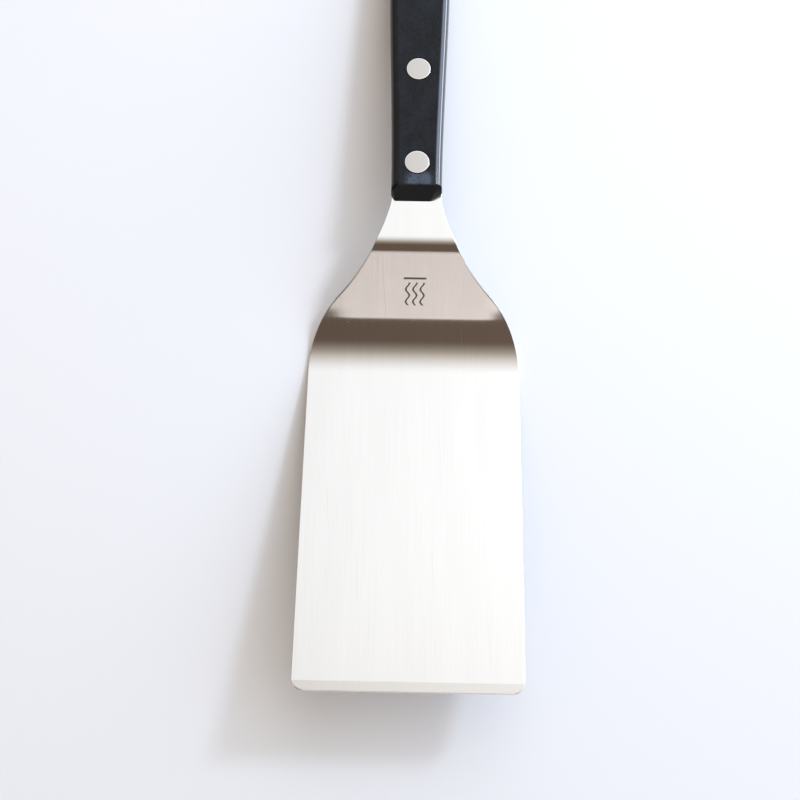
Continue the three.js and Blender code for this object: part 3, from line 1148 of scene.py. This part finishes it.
class SPATULA_OT_stage(bpy.types.Operator):
    """Make the table, the light and the camera"""

    bl_idname = "spatula.stage"
    bl_label = "Table, Light and Camera"

    def execute(self, context):
        stage = spatula_settings().stage
        add_table(stage)
        for light in LIGHTS:
            add_light(stage, *light)
        add_room(context.scene, stage)
        add_camera(context.scene)
        context.scene.view_settings.view_transform = "Standard"
        return {"FINISHED"}


def geometry_trees():
    """The geometry trees, made once."""
    if "follow_the_bends" not in bpy.data.node_groups:
        bend = bend_group()
        drilled_group(bend)
        rivet_group(bend)
    return bpy.data.node_groups


# ---- the stage ----

# Name, azimuth from X towards the butt, elevation, width and height (m), and radiance.
LIGHTS = (
    ("bright_pane", 35.8, 39.0, 0.2, 0.28, (41, 47, 58)),
    ("window", 22, 38, 2.2, 1.1, (0.56, 0.93, 1.5)),
    ("low_window", 28, 8, 1.1, 0.36, (4.5, 5.0, 6.4)),
)

CAMERA_PLACE = Vector((0.29, -140.98, 492.01)) * MM
CAMERA_TILT = math.radians(11.814)
CAMERA_YAW = math.radians(0.561)
CAMERA_ROLL = math.radians(0.996)
CAMERA_LENS = 63.0  # mm
CAMERA_SENSOR = 36.0  # mm

# The room's light. Angles lean from the zenith: below 0 towards the tip, above 0 towards the butt.
FAR_WALL = (0.85, 0.78, 0.74)  # low down, past the tip
DARK_SIDE = (0.11, 0.077, 0.058)
OVERHEAD = (0.48, 0.43, 0.37)
BRIGHT_SIDE = (0.94, 0.95, 0.96)
LEFT_SIDE = (0.67, 0.53, 0.41)
RIGHT_SIDE = (0.57, 0.555, 0.53)


TABLE_HALF = 4.0  # m


def add_table(stage):
    half = TABLE_HALF
    corners = [(-half, -half, 0), (half, -half, 0), (half, half, 0), (-half, half, 0)]
    table = new_object("table", mesh_from("table", corners, [(0, 1, 2, 3)]))
    table.data.materials.append(pale_table(stage))


def add_light(stage, name, azimuth, elevation, width, height, radiance):
    """A flat rectangular light that faces the piece, placed by its direction in degrees."""
    data = bpy.data.lights.new(name, "AREA")
    data.shape = "RECTANGLE"
    data.size = width
    data.size_y = height
    strongest = max(radiance)
    data.energy = math.pi * width * height * strongest
    data.color = [value / strongest for value in radiance]
    lamp = new_object(name, data)
    around, up = math.radians(azimuth), math.radians(elevation)
    towards = Vector((math.cos(up) * math.cos(around), math.cos(up) * math.sin(around), math.sin(up)))
    lamp.location = towards * stage.light_distance
    lamp.rotation_euler = towards.to_track_quat("Z", "Y").to_euler()


def add_room(scene, stage):
    """The room's light, by direction from the zenith towards the tip or the butt."""
    world = bpy.data.worlds.new("room")
    world.use_nodes = True
    tree = Tree(world.node_tree)
    x, y, z = tree.parts(tree.add("ShaderNodeTexCoord").out("Generated"))
    lean = y.math("ARCTAN2", z) * (180 / math.pi)
    light = tree.mix(lean.step(-18, 14), DARK_SIDE, OVERHEAD)
    light = tree.mix(lean.step(-2, 34), light, BRIGHT_SIDE)
    light = tree.mix(lean.step(-50.2, -51), light, FAR_WALL)
    light = tree.mix(x.step(-0.2, -0.45), light, LEFT_SIDE)
    light = tree.mix(x.step(0.2, 0.45), light, RIGHT_SIDE)
    side = x.clamp(-0.2, 0.3) * 0.75 + 1.0 - x.step(-0.09, -0.28) * 0.4
    background = tree.add("ShaderNodeBackground", None, {"Color": light, "Strength": side * stage.room})
    tree.add("ShaderNodeOutputWorld", None, {"Surface": background.out()})
    scene.world = world


def add_camera(scene):
    data = bpy.data.cameras.new("camera")
    data.sensor_width = CAMERA_SENSOR
    data.lens = CAMERA_LENS
    data.clip_start = 10 * MM
    camera = new_object("camera", data)
    turn = Matrix.Rotation(CAMERA_TILT, 4, "X") @ Matrix.Rotation(CAMERA_YAW, 4, "Y")
    turn = turn @ Matrix.Rotation(CAMERA_ROLL, 4, "Z")
    camera.matrix_world = Matrix.Translation(CAMERA_PLACE) @ turn
    scene.camera = camera


# ---- add-on ----


class SpatulaSettings(bpy.types.PropertyGroup):
    blade: bpy.props.PointerProperty(type=BladeSettings, name="Blade", description="Blade and tang")
    handle: bpy.props.PointerProperty(type=HandleSettings, name="Handle", description="Handle scales")
    rivets: bpy.props.PointerProperty(type=RivetSettings, name="Rivets", description="Rivets")
    stage: bpy.props.PointerProperty(type=StageSettings, name="Stage", description="Table and light")


STEPS = (SPATULA_OT_blade, SPATULA_OT_scales, SPATULA_OT_rivets, SPATULA_OT_stage)


class SPATULA_PT_panel(bpy.types.Panel):
    """The steps and sizes of the grill spatula"""

    bl_idname = "SPATULA_PT_panel"
    bl_label = "Grill Spatula"
    bl_space_type = "VIEW_3D"
    bl_region_type = "UI"
    bl_category = "Spatula"

    def draw(self, context):
        for step in STEPS:
            self.layout.operator(step.bl_idname)
        held = context.scene.spatula
        for group in (held.blade, held.handle, held.rivets, held.stage):
            column = self.layout.column()
            for name in group.__annotations__:
                column.prop(group, name)


CLASSES = (
    BladeSettings,
    HandleSettings,
    RivetSettings,
    StageSettings,
    SpatulaSettings,
    *STEPS,
    SPATULA_PT_panel,
)


def register():
    for item in CLASSES:
        bpy.utils.register_class(item)
    bpy.types.Scene.spatula = bpy.props.PointerProperty(
        type=SpatulaSettings, name="Spatula", description="Sizes and colours of the spatula"
    )


def unregister():
    del bpy.types.Scene.spatula
    for item in reversed(CLASSES):
        bpy.utils.unregister_class(item)


def main():
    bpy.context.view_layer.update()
    register()
    bpy.ops.spatula.stage()
    bpy.ops.spatula.blade()
    bpy.ops.spatula.scales()
    bpy.ops.spatula.rivets()


if __name__ == "__main__":
    main()
